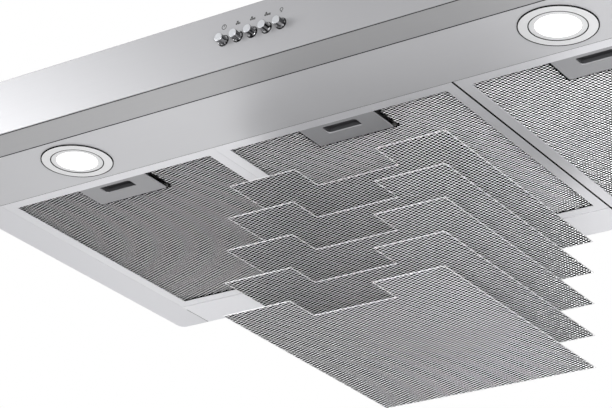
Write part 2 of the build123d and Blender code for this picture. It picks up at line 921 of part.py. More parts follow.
def cable_gland():
    high = foot_low
    low = top - steel
    gland = rod_z(gland_x, gland_y, high, high + gland_flange, gland_flange_radius)
    gland += rod_z(gland_x, gland_y, low - gland_tail, high, gland_radius)
    nut = Pos(gland_x, gland_y, low - gland_nut) * extrude(RegularPolygon(gland_nut_radius, 6), gland_nut)
    gland += nut
    return gland - rod_z(gland_x, gland_y, low - gland_tail, high + gland_flange, gland_bore)


def screw(x, y, seat, length):
    head = rod_z(x, y, seat, seat + screw_head, screw_head_radius)
    head = fillet(head.faces().sort_by(Axis.Z)[-1].edges(), screw_head / 3)
    return head + rod_z(x, y, seat - length, seat, screw_radius)


def fixing_screws():
    seat = top + chimney_sheet
    fixings = [screw(x, y, seat, screw_length) for x, y in flange_screw_places()]
    seat = foot_low + foot_thickness
    fixings += [screw(x, y, seat, foot_screw_length) for x, y in foot_screw_places()]
    for side in sides.values():
        x = side * (switch_half() + ear_width / 2)
        y = front + steel + ear_thickness
        nut = extrude(RegularPolygon(nut_radius, 6), nut_thickness)
        nut = Pos(x, y, button_z) * Rot(-90, 0, 0) * nut
        fixings.append(nut - rod_y(x, y, y + nut_thickness, button_z, stud_radius + stud_play))
    return fixings


def build_parts():
    parts = {
        "canopy_top": canopy_top(),
        "front_fascia": front_fascia(),
        "front_strip": front_strip(),
        "light_panel": light_panel(),
        "rear_strip": rear_strip(),
        "lamp_clips": lamp_clips(),
        "button_rings": button_rings(),
        "switch_block": switch_block(),
        "chimney_lower": chimney_lower(),
        "chimney_upper": chimney_upper(),
        "chimney_bracket": chimney_bracket(),
        "support_frame": support_frame(),
        "blower_motor": blower_motor(),
        "motor_shaft": motor_shaft(),
        "impeller_disc": impeller_disc(),
        "impeller_rings": impeller_rings(),
        "impeller_blades": impeller_blades(),
        "outlet_collar": outlet_collar(),
        "flap_front": flap_front(),
        "flap_rear": flap_rear(),
        "terminal_box": terminal_box(),
        "cable_gland": cable_gland(),
        "fixing_screws": fixing_screws(),
    }
    for name, side in sides.items():
        x = side * lamp_offset
        parts["side_panel_" + name] = side_panel(side)
        parts["lamp_bezel_" + name] = lamp_bezel(x)
        parts["lamp_ring_" + name] = lamp_ring(x)
        parts["lamp_lens_" + name] = lamp_lens(x)
        parts["lamp_can_" + name] = lamp_can(x)
        parts["blower_housing_" + name] = blower_half(side)
    button_names = ["button_off", "button_speed_1", "button_speed_2", "button_speed_3", "button_light"]
    for name, x in zip(button_names, button_places()):
        parts[name] = button(x)
    for name, middle in cassette_middles().items():
        parts["filter_frame_" + name] = filter_frame(middle)
        parts["filter_mesh_" + name] = filter_mesh(middle)
        parts["filter_handle_" + name] = filter_handle(middle)
        parts["filter_latch_" + name] = filter_latch(middle)
        parts["latch_spring_" + name] = latch_spring(middle)
    for index in range(loose_layers):
        parts["mesh_layer_" + str(index + 1)] = mesh_layer(index)
    return parts


def main():
    os.makedirs("parts", exist_ok=True)
    for name, shape in build_parts().items():
        if isinstance(shape, list):
            shape = Compound(children=shape)
        export_step(shape, "parts/" + name + ".step")
        print(name)


main()
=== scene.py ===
import math
import bmesh
import bpy
from mathutils import Matrix, Vector


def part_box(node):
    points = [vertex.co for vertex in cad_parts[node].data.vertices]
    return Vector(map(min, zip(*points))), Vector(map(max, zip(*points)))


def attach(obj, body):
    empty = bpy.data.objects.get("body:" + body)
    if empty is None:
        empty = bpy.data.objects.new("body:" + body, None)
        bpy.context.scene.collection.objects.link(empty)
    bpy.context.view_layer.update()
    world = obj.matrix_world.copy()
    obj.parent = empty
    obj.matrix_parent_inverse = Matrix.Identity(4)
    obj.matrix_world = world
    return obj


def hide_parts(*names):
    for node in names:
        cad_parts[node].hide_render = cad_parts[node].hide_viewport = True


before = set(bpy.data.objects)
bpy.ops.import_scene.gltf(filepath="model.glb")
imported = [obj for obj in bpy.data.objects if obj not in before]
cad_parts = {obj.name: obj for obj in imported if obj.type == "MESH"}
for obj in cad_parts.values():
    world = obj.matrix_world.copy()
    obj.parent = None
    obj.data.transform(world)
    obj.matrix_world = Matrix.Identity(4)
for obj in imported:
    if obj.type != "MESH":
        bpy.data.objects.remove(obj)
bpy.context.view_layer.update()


# The viewpoint: below the hood, in front and to the right of it, with a long lens.
# The lens and the three angles put every seam of the underside where the photograph has it.
IMAGE_WIDTH = 612
FOCAL_PIXELS = 2332.96
SENSOR = 36.0
VIEW_FROM = (1.11237, -2.01535, -1.03922)
VIEW_AZIMUTH = math.radians(34.609)
VIEW_ELEVATION = math.radians(-24.764)
VIEW_ROLL = math.radians(1.932)

camera_data = bpy.data.cameras.new("camera")
camera_data.sensor_width = SENSOR
camera_data.lens = FOCAL_PIXELS / IMAGE_WIDTH * SENSOR
camera_data.clip_end = 50
camera = bpy.data.objects.new("camera", camera_data)
bpy.context.scene.collection.objects.link(camera)
camera.matrix_world = (
    Matrix.Translation(VIEW_FROM)
    @ Matrix.Rotation(VIEW_AZIMUTH, 4, "Z")
    @ Matrix.Rotation(math.pi / 2 - VIEW_ELEVATION, 4, "X")
    @ Matrix.Rotation(VIEW_ROLL, 4, "Z")
)
bpy.context.scene.camera = camera


# The studio: a pale floor far below the hung hood, a white surround and three soft panels.
# One brightens the left of the band, one stands beside the viewer and one lifts the rear strips.
FLOOR_LEVEL = -1.6
FLOOR_SIZE = 30.0
FLOOR_DULL = (0.80, 0.80, 0.80)
FLOOR_PALE = (0.84, 0.84, 0.84)
FLOOR_CLOUDS = 0.1
FLOOR_GLOW = 0.7
SURROUND_LIGHT = 0.25
BAND_WATTS = 5.4
FRONT_WATTS = 52
REAR_WATTS = 6.5
BAND_LEFT_END = (-0.45, -0.5, 0)
UNDERSIDE_MIDDLE = (0, -0.35, -0.05)


def link_object(name, data):
    made = bpy.data.objects.new(name, data)
    bpy.context.scene.collection.objects.link(made)
    return made


def finish_mesh(name, shape, material):
    mesh = bpy.data.meshes.new(name)
    shape.to_mesh(mesh)
    shape.free()
    mesh.materials.append(material)
    return link_object(name, mesh)


def new_material(name):
    material = bpy.data.materials.new(name)
    material.use_nodes = True
    material.node_tree.nodes.clear()
    return material, material.node_tree


def add_node(tree, kind, inputs=(), **settings):
    node = tree.nodes.new(kind)
    for key, value in settings.items():
        setattr(node, key, value)
    for socket, value in dict(inputs).items():
        if isinstance(value, bpy.types.NodeSocket):
            tree.links.new(value, node.inputs[socket])
        else:
            node.inputs[socket].default_value = value
    return node


def new_group(name, inputs, outputs):
    group = bpy.data.node_groups.new(name, "ShaderNodeTree")
    for socket, kind, value in inputs:
        group.interface.new_socket(socket, in_out="INPUT", socket_type=kind).default_value = value
    for socket in outputs:
        group.interface.new_socket(socket, in_out="OUTPUT", socket_type="NodeSocketFloat")
    return group, group.nodes.new("NodeGroupInput"), group.nodes.new("NodeGroupOutput")


def place_group(tree, group, inputs=()):
    node = tree.nodes.new("ShaderNodeGroup")
    node.node_tree = group
    for socket, value in dict(inputs).items():
        node.inputs[socket].default_value = value
    return node


def mix_colour(tree, factor, dark, light):
    return add_node(tree, "ShaderNodeMix", {
        "Factor": factor, "A": (*dark, 1.0), "B": (*light, 1.0)}, data_type="RGBA").outputs["Result"]


def build_fine_grain():
    group, given, result = new_group("fine_grain", [
        ("Scale", "NodeSocketFloat", 300.0), ("Detail", "NodeSocketFloat", 2.0)], ["Grain"])
    place = add_node(group, "ShaderNodeTexCoord")
    grain = add_node(group, "ShaderNodeTexNoise", {
        "Vector": place.outputs["Object"], "Scale": given.outputs["Scale"],
        "Detail": given.outputs["Detail"]})
    group.links.new(grain.outputs["Fac"], result.inputs["Grain"])
    return group


fine_grain = build_fine_grain()


def grain_of(tree, scale, detail=2.0):
    return place_group(tree, fine_grain, {"Scale": scale, "Detail": detail}).outputs["Grain"]


def seen_directly(tree):
    rays = add_node(tree, "ShaderNodeLightPath")
    seen = add_node(tree, "ShaderNodeMath", {
        0: rays.outputs["Is Camera Ray"], 1: rays.outputs["Is Glossy Ray"]}, operation="MAXIMUM")
    return add_node(tree, "ShaderNodeMath", {
        0: seen.outputs[0], 1: rays.outputs["Is Transmission Ray"]}, operation="MAXIMUM").outputs[0]


floor_material, floor_tree = new_material("floor")
floor_clouds = grain_of(floor_tree, FLOOR_CLOUDS, detail=4.0)
floor_colour = mix_colour(floor_tree, floor_clouds, FLOOR_DULL, FLOOR_PALE)
floor_paint = add_node(floor_tree, "ShaderNodeBsdfPrincipled", {
    "Base Color": floor_colour, "Roughness": 0.9})
floor_glow = add_node(floor_tree, "ShaderNodeEmission", {"Color": floor_colour})
floor_share = add_node(floor_tree, "ShaderNodeMath", {
    0: seen_directly(floor_tree), 1: FLOOR_GLOW}, operation="MULTIPLY")
floor_mix = add_node(floor_tree, "ShaderNodeMixShader", {
    0: floor_share.outputs[0], 1: floor_paint.outputs[0], 2: floor_glow.outputs[0]})
add_node(floor_tree, "ShaderNodeOutputMaterial", {"Surface": floor_mix.outputs[0]})
floor_shape = bmesh.new()
bmesh.ops.create_grid(floor_shape, x_segments=1, y_segments=1, size=FLOOR_SIZE / 2)
bmesh.ops.translate(floor_shape, verts=floor_shape.verts, vec=(0, 0, FLOOR_LEVEL))
floor = finish_mesh("floor", floor_shape, floor_material)

world = bpy.data.worlds.new("studio")
world.use_nodes = True
world_tree = world.node_tree
world_tree.nodes.clear()
world_level = add_node(world_tree, "ShaderNodeMapRange", {
    "Value": seen_directly(world_tree), "To Min": SURROUND_LIGHT, "To Max": 1.0})
surround = add_node(world_tree, "ShaderNodeBackground", {
    "Color": (1, 1, 1, 1), "Strength": world_level.outputs[0]})
add_node(world_tree, "ShaderNodeOutputWorld", {"Surface": surround.outputs[0]})
bpy.context.scene.world = world
bpy.context.scene.view_settings.view_transform = "Standard"


def soft_panel(name, place, aim, size, watts):
    data = bpy.data.lights.new(name, "AREA")
    data.shape = "RECTANGLE"
    data.size, data.size_y = size
    data.energy = watts
    panel = link_object(name, data)
    direction = Vector(aim) - Vector(place)
    panel.rotation_euler = direction.to_track_quat("-Z", "Y").to_euler()
    panel.location = place
    panel.visible_camera = False


soft_panel("band_panel", (-0.66, -0.90, 0.08), BAND_LEFT_END, (0.5, 0.3), BAND_WATTS)
soft_panel("front_panel", (1.2, -2.05, -0.80), UNDERSIDE_MIDDLE, (1.0, 1.0), FRONT_WATTS)
soft_panel("rear_panel", (-0.80, 1.3, -1.0), UNDERSIDE_MIDDLE, (1.6, 1.6), REAR_WATTS)


# Brushed stainless sheet: the canopy box, its front band, the folded strips of the underside
# and the chimney covers, all folded from one millimetre sheet brushed along its length.
# Each part takes its own copy of the steel's tone as painted light and shade: the band, the front strip
# and the covers darker, the side panels and the rear strip lighter.
SHEET_TONES = ((0.61, 0.61, 0.63), (0.67, 0.67, 0.69))
BAND_SHADED_TONES = ((0.26, 0.26, 0.27), (0.30, 0.30, 0.31))
STRIP_SHADED_TONES = ((0.43, 0.43, 0.44), (0.48, 0.48, 0.49))
SIDE_LIT_TONES = ((0.74, 0.74, 0.77), (0.80, 0.80, 0.83))
REAR_LIT_TONES = ((0.84, 0.84, 0.87), (0.90, 0.90, 0.93))
COVER_SHADED_TONES = ((0.50, 0.50, 0.52), (0.56, 0.56, 0.58))
STEEL_ROUGHNESS = 0.45
STEEL_METALLIC = 0.25
BRUSH_FINE = 1400.0
BRUSH_LONG = 9.0
ALONG_X = (BRUSH_LONG, BRUSH_FINE, BRUSH_FINE)
ALONG_Y = (BRUSH_FINE, BRUSH_LONG, BRUSH_FINE)
ALONG_Z = (BRUSH_FINE, BRUSH_FINE, BRUSH_LONG)
BLOTCHES = 6.0
BRUSH_STRENGTH = 0.25
BRUSH_DEPTH = 0.00002
LEAST_TONE = 0.2
NOISE_SPAN = (0.25, 0.75)
ROUGHNESS_SPREAD = (-0.03, 0.04)


def surface_shader(tree, inputs):
    shader = add_node(tree, "ShaderNodeBsdfPrincipled", inputs)
    add_node(tree, "ShaderNodeOutputMaterial", {"Surface": shader.outputs[0]})


def map_value(tree, value, low, high):
    return add_node(tree, "ShaderNodeMapRange", {
        "Value": value, "From Min": NOISE_SPAN[0], "From Max": NOISE_SPAN[1],
        "To Min": low, "To Max": high}).outputs[0]


def add_bump(tree, height, strength, distance):
    return add_node(tree, "ShaderNodeBump", {
        "Height": height, "Strength": strength, "Distance": distance}).outputs[0]


def build_brushing():
    group, given, result = new_group("brushing", [
        ("Stretch", "NodeSocketVector", ALONG_X),
        ("Blotch", "NodeSocketFloat", BLOTCHES),
    ], ["Grain", "Blotches"])
    place = add_node(group, "ShaderNodeTexCoord")
    stretched = add_node(group, "ShaderNodeVectorMath", {
        0: place.outputs["Object"], 1: given.outputs["Stretch"]}, operation="MULTIPLY")
    grain = add_node(group, "ShaderNodeTexNoise", {
        "Vector": stretched.outputs[0], "Scale": 1.0, "Detail": 3.0, "Roughness": 0.65})
    blotches = add_node(group, "ShaderNodeTexNoise", {
        "Vector": place.outputs["Object"], "Scale": given.outputs["Blotch"], "Detail": 4.0})
    group.links.new(grain.outputs["Fac"], result.inputs["Grain"])
    group.links.new(blotches.outputs["Fac"], result.inputs["Blotches"])
    return group


brushing = build_brushing()


def brushed_metal(name, stretch, tones, roughness=STEEL_ROUGHNESS, metallic=STEEL_METALLIC):
    material, tree = new_material(name)
    brush = place_group(tree, brushing, {"Stretch": stretch})
    grain, blotches = brush.outputs["Grain"], brush.outputs["Blotches"]
    tone = add_node(tree, "ShaderNodeMath", {
        0: grain, 1: blotches, 2: LEAST_TONE}, operation="MULTIPLY_ADD")
    smooth, rough = (roughness + step for step in ROUGHNESS_SPREAD)
    surface_shader(tree, {
        "Base Color": mix_colour(tree, tone.outputs[0], *tones),
        "Metallic": metallic,
        "Roughness": map_value(tree, blotches, smooth, rough),
        "Normal": add_bump(tree, grain, BRUSH_STRENGTH, BRUSH_DEPTH),
    })
    return material


def dress(material, *names):
    for name in names:
        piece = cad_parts[name]
        piece.data.materials.clear()
        piece.data.materials.append(material)


dress(brushed_metal("brushed_sheet", ALONG_X, SHEET_TONES), "canopy_top", "light_panel")
# Shaded and lit copies of one steel: painted shade on the band, strip and covers, painted light on the
# side panels and rear strip.
dress(brushed_metal("brushed_band_shaded", ALONG_X, BAND_SHADED_TONES), "front_fascia")
dress(brushed_metal("brushed_strip_shaded", ALONG_X, STRIP_SHADED_TONES), "front_strip")
dress(brushed_metal("brushed_side_lit", ALONG_Y, SIDE_LIT_TONES), "side_panel_left", "side_panel_right")
dress(brushed_metal("brushed_rear_lit", ALONG_X, REAR_LIT_TONES), "rear_strip")
dress(brushed_metal("brushed_cover_shaded", ALONG_Z, COVER_SHADED_TONES), "chimney_lower", "chimney_upper")


# Open joints between the folded sheets: band to strip, strip to lamp panel, panel to cassettes, and the
# ends of the rear strip. The shade in each joint is painted as a thin black strip a hair proud of the
# sheet.
UNDERSIDE = -0.030
JOINT_PROUD = 0.00005
JOINT_LOW = UNDERSIDE - JOINT_PROUD
JOINT_HIGH = UNDERSIDE + JOINT_PROUD
SHEET_END = 0.4104
CROSS_JOINTS = ((-0.4990, -0.4979), (-0.4611, -0.4597), (-0.37085, -0.37045))
END_JOINT_Y = (-0.0425, -0.001)
END_JOINT_HALF = 0.0003
SHADE_TONES = ((0.004, 0.004, 0.004), (0.012, 0.012, 0.012))
SHADE_GRAIN = 300.0

# A near-black with faint grain: painted shade, for the joints here and for the dark strips and rings
# further down.
painted_shade_black, shade_tree = new_material("painted_shade")
surface_shader(shade_tree, {
    "Base Color": mix_colour(shade_tree, grain_of(shade_tree, SHADE_GRAIN), *SHADE_TONES),
    "Roughness": 0.9, "Specular IOR Level": 0.0,
})


def add_box(shape, low, high):
    low, high = Vector(low), Vector(high)
    bmesh.ops.create_cube(shape, size=1, matrix=Matrix.LocRotScale((low + high) / 2, None, high - low))


def new_piece(name, shape, material, body):
    bmesh.ops.recalc_face_normals(shape, faces=shape.faces)
    piece = finish_mesh(name, shape, material)
    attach(piece, body)


joint_shades = bmesh.new()
for near, far in CROSS_JOINTS:
    add_box(joint_shades, (-SHEET_END, near, JOINT_LOW), (SHEET_END, far, JOINT_HIGH))
for end in (-SHEET_END, SHEET_END):
    add_box(joint_shades, (end - END_JOINT_HALF, END_JOINT_Y[0], JOINT_LOW),
            (end + END_JOINT_HALF, END_JOINT_Y[1], JOINT_HIGH))
new_piece("sheet_joint_shades", joint_shades, painted_shade_black, "hood")


# Round lamps: a thin satin ring with a black ring of painted shade round its rim, an inner ring past a
# groove whose shade is a painted black ring, and a frosted white lens that glows. A finned can behind
# carries each lamp, held up by two leaf springs.
RING_TONES = ((0.82, 0.82, 0.83), (0.90, 0.90, 0.91))
SATIN_GRAIN = (900.0, 900.0, 900.0)
LENS_TONES = ((0.93, 0.93, 0.90), (0.98, 0.98, 0.96))
LENS_FROST = 900.0
FROST_STRENGTH = 0.2
FROST_DEPTH = 0.0001
LENS_GLOW = 2.0
RING_SIDES = 64
RIM_SHADE_RADII = (0.0355, 0.0365)
GROOVE_SHADE_RADII = (0.0260, 0.0270)
GROOVE_SHADE_THICKNESS = 0.0003
BEZEL_PROUD = 0.00104

ring_metal = brushed_metal("satin_ring", SATIN_GRAIN, RING_TONES, roughness=0.42)
lens_material, lens_tree = new_material("frosted_lens")
lens_frost = grain_of(lens_tree, LENS_FROST)
lens_colour = mix_colour(lens_tree, lens_frost, *LENS_TONES)
surface_shader(lens_tree, {
    "Base Color": lens_colour, "Roughness": 0.35,
    "Normal": add_bump(lens_tree, lens_frost, FROST_STRENGTH, FROST_DEPTH),
    "Emission Color": lens_colour, "Emission Strength": LENS_GLOW,
})


def thicken(shape, faces, step):
    raised = bmesh.ops.extrude_face_region(shape, geom=faces)["geom"]
    bmesh.ops.translate(shape, verts=[v for v in raised if isinstance(v, bmesh.types.BMVert)], vec=step)


def add_ring(shape, place, radii, thickness, sides=RING_SIDES):
    edges = set()
    for radius in radii:
        made = bmesh.ops.create_circle(shape, segments=sides, radius=radius, matrix=place)
        edges.update(e for v in made["verts"] for e in v.link_edges)
    faces = bmesh.ops.bridge_loops(shape, edges=list(edges))["faces"]
    thicken(shape, faces, place.to_3x3() @ Vector((0, 0, thickness)))


for side in ("left", "right"):
    dress(ring_metal, "lamp_bezel_" + side, "lamp_ring_" + side, "lamp_can_" + side)
    dress(lens_material, "lamp_lens_" + side)
    low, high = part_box("lamp_bezel_" + side)
    face = Matrix.Translation(((low.x + high.x) / 2, (low.y + high.y) / 2, UNDERSIDE - BEZEL_PROUD))
    # Two black rings of painted shade: one round the rim of the satin ring, one in its groove.
    rim_shade = bmesh.new()
    add_ring(rim_shade, face, RIM_SHADE_RADII, BEZEL_PROUD)
    new_piece("lamp_rim_shade_" + side, rim_shade, painted_shade_black, "hood")
    groove_shade = bmesh.new()
    add_ring(groove_shade, face, GROOVE_SHADE_RADII, GROOVE_SHADE_THICKNESS)
    new_piece("lamp_groove_shade_" + side, groove_shade, painted_shade_black, "hood")
dress(ring_metal, "lamp_clips")


# Signs on the band: a power sign, three fan signs with one, two and three marks for the speed, and
# a lamp sign. Each is printed on the brushed steel in thin black paint, above the place of its
# push button.
BUTTONS = ("button_off", "button_speed_1", "button_speed_2", "button_speed_3", "button_light")
FRONT_FACE = -0.500
SIGN_TONES = ((0.015, 0.015, 0.015), (0.05, 0.05, 0.05))
SIGN_WEAR = 2500.0
SIGN_HEIGHT = 0.0138
SIGN_PROUD = 0.00004
SIGN_SIDES = 32
DOT_SIDES = 20
LINE_HALF = 0.0004
POWER_RING = (0.0020, 0.0028)
POWER_BAR_UP = 0.0008
POWER_BAR_HALF = 0.0012
FAN_LEFT = 0.0008
BLADE_REACH = 0.0013
BLADE_RADIUS = 0.0011
MARK_RIGHT = 0.0018
MARK_STEP = 0.0009
MARK_DOWN = 0.0006
MARK_HALF = 0.0011
BULB_RING = (0.0012, 0.0019)
BULB_UP = 0.0004
SOCKET_DOWN = 0.0022
SOCKET_HALF = 0.0008

sign_print, sign_tree = new_material("sign_print")
surface_shader(sign_tree, {
    "Base Color": mix_colour(sign_tree, grain_of(sign_tree, SIGN_WEAR), *SIGN_TONES),
    "Roughness": 0.6,
})


def on_band(x, z):
    return Matrix.Translation((x, FRONT_FACE, z)) @ Matrix.Rotation(math.pi / 2, 4, "X")


def add_dot(shape, x, z, radius):
    bmesh.ops.create_cone(shape, cap_ends=True, segments=DOT_SIDES, radius1=radius, radius2=radius,
                          depth=2 * SIGN_PROUD, matrix=on_band(x, z))


def add_bar(shape, x, z, half_width, half_height):
    add_box(shape, (x - half_width, FRONT_FACE - SIGN_PROUD, z - half_height),
            (x + half_width, FRONT_FACE + SIGN_PROUD, z + half_height))


def power_sign(shape, x, z):
    add_ring(shape, on_band(x, z), POWER_RING, SIGN_PROUD, SIGN_SIDES)
    add_bar(shape, x, z + POWER_BAR_UP, LINE_HALF, POWER_BAR_HALF)


def fan_sign(shape, x, z, speed):
    for degrees in (90, 210, 330):
        angle = math.radians(degrees)
        add_dot(shape, x - FAN_LEFT + BLADE_REACH * math.cos(angle),
                z + BLADE_REACH * math.sin(angle), BLADE_RADIUS)
    for mark in range(speed):
        add_bar(shape, x + MARK_RIGHT + MARK_STEP * mark, z - MARK_DOWN, LINE_HALF, MARK_HALF)


def lamp_sign(shape, x, z):
    add_ring(shape, on_band(x, z + BULB_UP), BULB_RING, SIGN_PROUD, SIGN_SIDES)
    add_bar(shape, x, z - SOCKET_DOWN, SOCKET_HALF, LINE_HALF)


signs = bmesh.new()
for count, button in enumerate(BUTTONS):
    low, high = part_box(button)
    across = (low.x + high.x) / 2
    if button == "button_off":
        power_sign(signs, across, SIGN_HEIGHT)
    elif button == "button_light":
        lamp_sign(signs, across, SIGN_HEIGHT)
    else:
        fan_sign(signs, across, SIGN_HEIGHT, count)
new_piece("button_signs", signs, sign_print, "hood")


# Push buttons: five turned metal caps with satin faces and polished sides, whose dark and light
# streaks along the axis are painted reflections. Each slides in a base ring, painted the same way,
# that sits on the band over a thin black ring of painted contact shadow.
CAP_FACE = FRONT_FACE - 0.0088
CAP_EDGE = (CAP_FACE + 0.00003, CAP_FACE + 0.00015)
CAP_FACE_TONE = (0.46, 0.47, 0.49)
CAP_REFLECTION_TONES = ((0.02, 0.02, 0.022), (0.42, 0.42, 0.43))
CAP_REFLECTION_STREAKS = (420.0, 0.0, 420.0)
CAP_REFLECTION_CONTRAST = (0.42, 0.62)
CAP_TURNING = 1500.0
CAP_ROUGHNESS = (0.30, 0.38)
CAP_STRENGTH = 0.15
CONTACT_SHADOW_RADII = (0.0045, 0.0059)
CONTACT_SHADOW_THICKNESS = 0.0001
CONTACT_SHADOW_SIDES = 40

cap_metal, cap_tree = new_material("turned_cap")
cap_place = add_node(cap_tree, "ShaderNodeTexCoord")
cap_axes = add_node(cap_tree, "ShaderNodeSeparateXYZ", {0: cap_place.outputs["Object"]})
cap_side = add_node(cap_tree, "ShaderNodeMapRange", {
    "Value": cap_axes.outputs["Y"], "From Min": CAP_EDGE[0], "From Max": CAP_EDGE[1]})
# The sides and base rings take dark and light streaks along the axis: painted reflections.
cap_around = add_node(cap_tree, "ShaderNodeVectorMath", {
    0: cap_place.outputs["Object"], 1: CAP_REFLECTION_STREAKS}, operation="MULTIPLY")
cap_reflection_streaks = add_node(cap_tree, "ShaderNodeTexNoise", {
    "Vector": cap_around.outputs[0], "Scale": 1.0, "Detail": 1.0})
cap_reflection_shades = add_node(cap_tree, "ShaderNodeMapRange", {
    "Value": cap_reflection_streaks.outputs["Fac"], "From Min": CAP_REFLECTION_CONTRAST[0], "From Max": CAP_REFLECTION_CONTRAST[1]})
cap_painted_reflection = mix_colour(cap_tree, cap_reflection_shades.outputs[0], *CAP_REFLECTION_TONES)
cap_colour = add_node(cap_tree, "ShaderNodeMix", {
    "Factor": cap_side.outputs[0], "A": (*CAP_FACE_TONE, 1.0), "B": cap_painted_reflection}, data_type="RGBA")
cap_turning = grain_of(cap_tree, CAP_TURNING)
surface_shader(cap_tree, {
    "Base Color": cap_colour.outputs["Result"],
    "Metallic": 1.0,
    "Roughness": map_value(cap_tree, cap_turning, *CAP_ROUGHNESS),
    "Normal": add_bump(cap_tree, cap_turning, CAP_STRENGTH, BRUSH_DEPTH),
})
dress(cap_metal, "button_rings", *BUTTONS)

# A thin black ring round the foot of each button: painted contact shadow.
contact_shadows = bmesh.new()
for button in BUTTONS:
    low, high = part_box(button)
    seat = on_band((low.x + high.x) / 2, (low.z + high.z) / 2)
    add_ring(contact_shadows, seat, CONTACT_SHADOW_RADII, CONTACT_SHADOW_THICKNESS, CONTACT_SHADOW_SIDES)
new_piece("button_contact_shadows", contact_shadows, painted_shade_black, "hood")


# Black mouldings: the switch block behind the band, the terminal box and its gland, and the outlet
# collar with its two flaps, all in fine-grained black plastic.
MOULD_SPECKLE = 1200.0
MOULD_CLOUD = 30.0
MOULD_STRENGTH = 0.35
MOULD_DEPTH = 0.00005
MOULD_SPREAD = 0.05
RECESS_SHADE_BLEND = 0.0004
BLACK_TONES = ((0.035, 0.035, 0.036), (0.05, 0.05, 0.052))


def build_moulding():
    group, given, result = new_group("moulding", [
        ("Speckle Scale", "NodeSocketFloat", MOULD_SPECKLE),
        ("Cloud Scale", "NodeSocketFloat", MOULD_CLOUD),
    ], ["Speckle", "Cloud"])
    place = add_node(group, "ShaderNodeTexCoord")
    for output in ("Speckle", "Cloud"):
        noise = add_node(group, "ShaderNodeTexNoise", {
            "Vector": place.outputs["Object"], "Scale": given.outputs[output + " Scale"], "Detail": 3.0})
        group.links.new(noise.outputs["Fac"], result.inputs[output])
    return group


moulding = build_moulding()


# Painted shade: the colour turns to a darker one above the given level, inside a recess.
def paint_recess_shade(tree, colour, level, shade_colour):
    place = add_node(tree, "ShaderNodeTexCoord")
    axes = add_node(tree, "ShaderNodeSeparateXYZ", {0: place.outputs["Object"]})
    recess_shade = add_node(tree, "ShaderNodeMapRange", {
        "Value": axes.outputs["Z"], "From Min": level, "From Max": level + RECESS_SHADE_BLEND})
    return add_node(tree, "ShaderNodeMix", {
        "Factor": recess_shade.outputs[0], "A": colour, "B": (*shade_colour, 1.0)},
        data_type="RGBA").outputs["Result"]


def moulded_plastic(name, tones, roughness, recess_shade=None):
    material, tree = new_material(name)
    mould = place_group(tree, moulding)
    speckle = mould.outputs["Speckle"]
    colour = mix_colour(tree, mould.outputs["Cloud"], *tones)
    if recess_shade:
        colour = paint_recess_shade(tree, colour, *recess_shade)
    surface_shader(tree, {
        "Base Color": colour,
        "Roughness": map_value(tree, speckle, roughness - MOULD_SPREAD, roughness + MOULD_SPREAD),
        "Normal": add_bump(tree, speckle, MOULD_STRENGTH, MOULD_DEPTH),
    })
    return material


dress(moulded_plastic("black_plastic", BLACK_TONES, roughness=0.5),
      "switch_block", "terminal_box", "cable_gland", "outlet_collar", "flap_front", "flap_rear")


# Filter cassettes: folded aluminium frames that hold the mesh, with a dark grey moulded finger pull
# each, darker inside its cup as painted shade. A charcoal latch slides behind the slot of the pull, and
# black strips of painted shade lie along the rear of each window and in the gap between the middle
# and right frames.
CASSETTES = ("left", "middle", "right")
FRAME_TONES = ((0.76, 0.76, 0.79), (0.84, 0.84, 0.87))
PULL_TONES = ((0.35, 0.35, 0.365), (0.38, 0.38, 0.395))
LATCH_TONES = ((0.045, 0.045, 0.048), (0.06, 0.06, 0.064))
CUP_SHADE_COLOUR = (0.09, 0.09, 0.095)
CUP_SHADE_LEVEL = -0.0290
SIDE_BAR = 0.0121
REAR_BAR = 0.0123
REAR_SHADE_REACH = (0.0070, 0.0045)
REAR_SHADE_UNDER_FRAME = 0.004
REAR_SHADE_LEVELS = (-0.0275, -0.0273)
ROW_GAP_X = (0.1354, 0.1376)
ROW_GAP_Y = (-0.370, -0.0426)
ROW_GAP_TOP = UNDERSIDE + 0.0010

frame_metal = brushed_metal("cassette_aluminium", ALONG_X, FRAME_TONES, roughness=0.40)
# The pull is darker inside its cup: painted shade.
pull_plastic = moulded_plastic("pull_plastic", PULL_TONES, roughness=0.55, recess_shade=(CUP_SHADE_LEVEL, CUP_SHADE_COLOUR))
latch_plastic = moulded_plastic("latch_plastic", LATCH_TONES, roughness=0.45)
for name in CASSETTES:
    dress(frame_metal, "filter_frame_" + name)
    dress(pull_plastic, "filter_handle_" + name)
    dress(latch_plastic, "filter_latch_" + name)
    dress(ring_metal, "latch_spring_" + name)
    low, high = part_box("filter_frame_" + name)
    # A black strip along the rear of each window: painted shade under the rear bar.
    window = high.y - REAR_BAR
    rear_shade = bmesh.new()
    add_box(rear_shade, (low.x + SIDE_BAR - REAR_SHADE_UNDER_FRAME, window - REAR_SHADE_REACH[0], REAR_SHADE_LEVELS[0]),
            (high.x - SIDE_BAR, window + REAR_SHADE_REACH[1], REAR_SHADE_LEVELS[1]))
    new_piece("rear_shade_" + name, rear_shade, painted_shade_black, "cassette_" + name)
# A black strip in the gap between the middle and right frames: painted shade.
gap_shade = bmesh.new()
add_box(gap_shade, (ROW_GAP_X[0], ROW_GAP_Y[0], JOINT_LOW), (ROW_GAP_X[1], ROW_GAP_Y[1], ROW_GAP_TOP))
new_piece("row_gap_shade", gap_shade, painted_shade_black, "cassette_right")


